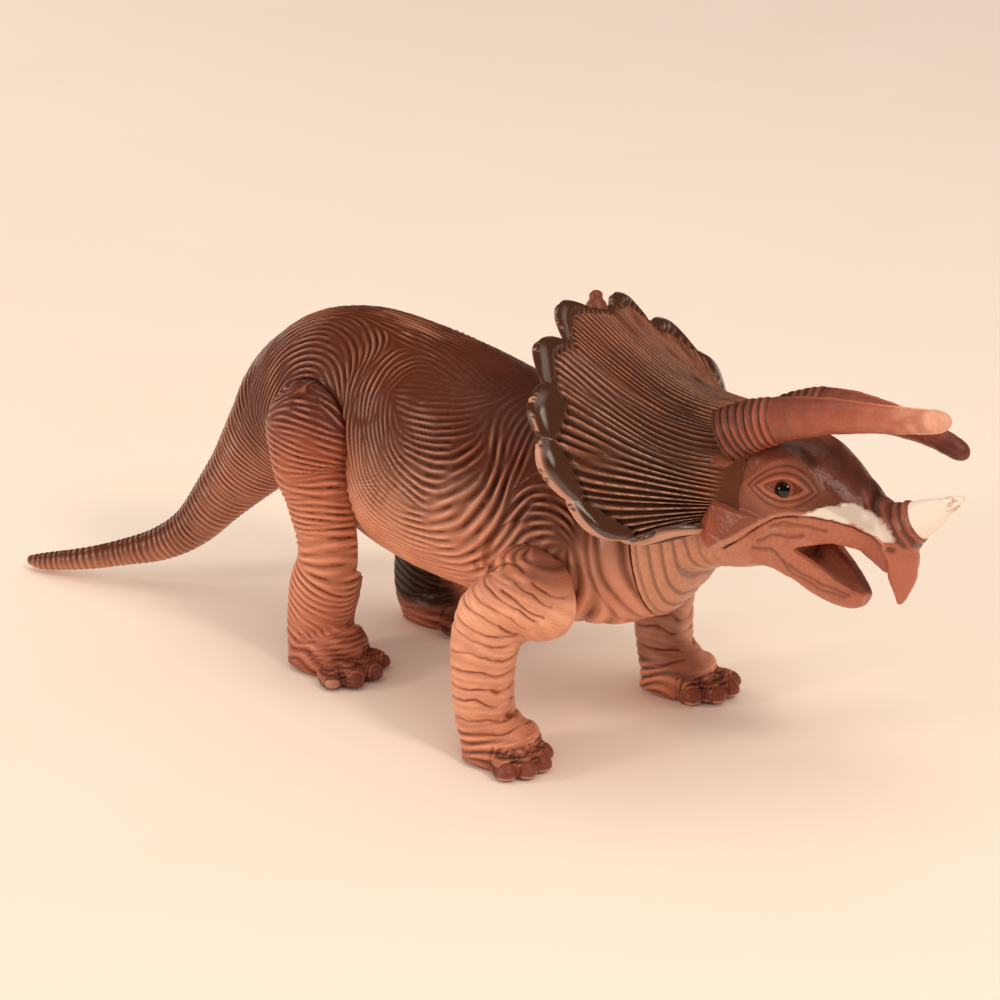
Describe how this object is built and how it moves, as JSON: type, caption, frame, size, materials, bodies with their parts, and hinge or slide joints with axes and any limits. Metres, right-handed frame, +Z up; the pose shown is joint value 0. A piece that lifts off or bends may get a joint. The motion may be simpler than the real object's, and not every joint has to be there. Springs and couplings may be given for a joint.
{
  "type": "toy dinosaur figure",
  "caption": "Horned dinosaur figure with a ribbed neck frill and open beak, a hollow vinyl toy whose head and legs swivel on plug joints.",
  "frame": {"origin": "on the floor under the centre of the figure's bounding box", "axes": "+X from tail to head, +Y to the animal's left, +Z up"},
  "size_m": [0.312, 0.1128, 0.1261],
  "materials": {
    "brown_vinyl": "satin soft vinyl, maroon brown spray over salmon tan",
    "salmon_vinyl": "satin soft vinyl, salmon tan",
    "dark_vinyl": "glossy dark brown spray on soft vinyl",
    "horn_vinyl": "satin reddish brown vinyl",
    "white_vinyl": "matt white vinyl",
    "eye_bead": "gloss black bead"
  },
  "bodies": {
    "torso": {"torso_and_tail": "brown_vinyl"},
    "head": {"neck_and_lower_jaw": "salmon_vinyl", "head_and_frill": "dark_vinyl", "brow_horn_right": "horn_vinyl", "brow_horn_left": "horn_vinyl", "nose_horn": "white_vinyl", "eye_right": "eye_bead", "eye_left": "eye_bead"},
    "foreleg_right_body": {"foreleg_right": "salmon_vinyl"},
    "foreleg_left_body": {"foreleg_left": "salmon_vinyl"},
    "hindleg_right_body": {"hindleg_right": "salmon_vinyl"},
    "hindleg_left_body": {"hindleg_left": "salmon_vinyl"}
  },
  "joints": [
    {"name": "neck_swivel", "type": "hinge", "parent": "torso", "child": "head", "pos_m": [0.06935, -0.00265, 0.0599], "axis": [0.9254, 0.3368, 0.1737], "range_deg": [-25, 25]},
    {"name": "shoulder_swivel_right", "type": "hinge", "parent": "torso", "child": "foreleg_right_body", "pos_m": [0.04825, -0.03035, 0.05], "axis": [0, 1, 0], "range_deg": [-30, 25]},
    {"name": "shoulder_swivel_left", "type": "hinge", "parent": "torso", "child": "foreleg_left_body", "pos_m": [0.04825, 0.02365, 0.05], "axis": [0, 1, 0], "range_deg": [-30, 25]},
    {"name": "hip_swivel_right", "type": "hinge", "parent": "torso", "child": "hindleg_right_body", "pos_m": [-0.04125, -0.02414, 0.07], "axis": [0, 1, 0], "range_deg": [0, 30]},
    {"name": "hip_swivel_left", "type": "hinge", "parent": "torso", "child": "hindleg_left_body", "pos_m": [-0.04125, 0.01745, 0.07], "axis": [0, 1, 0], "range_deg": [0, 30]}
  ]
}
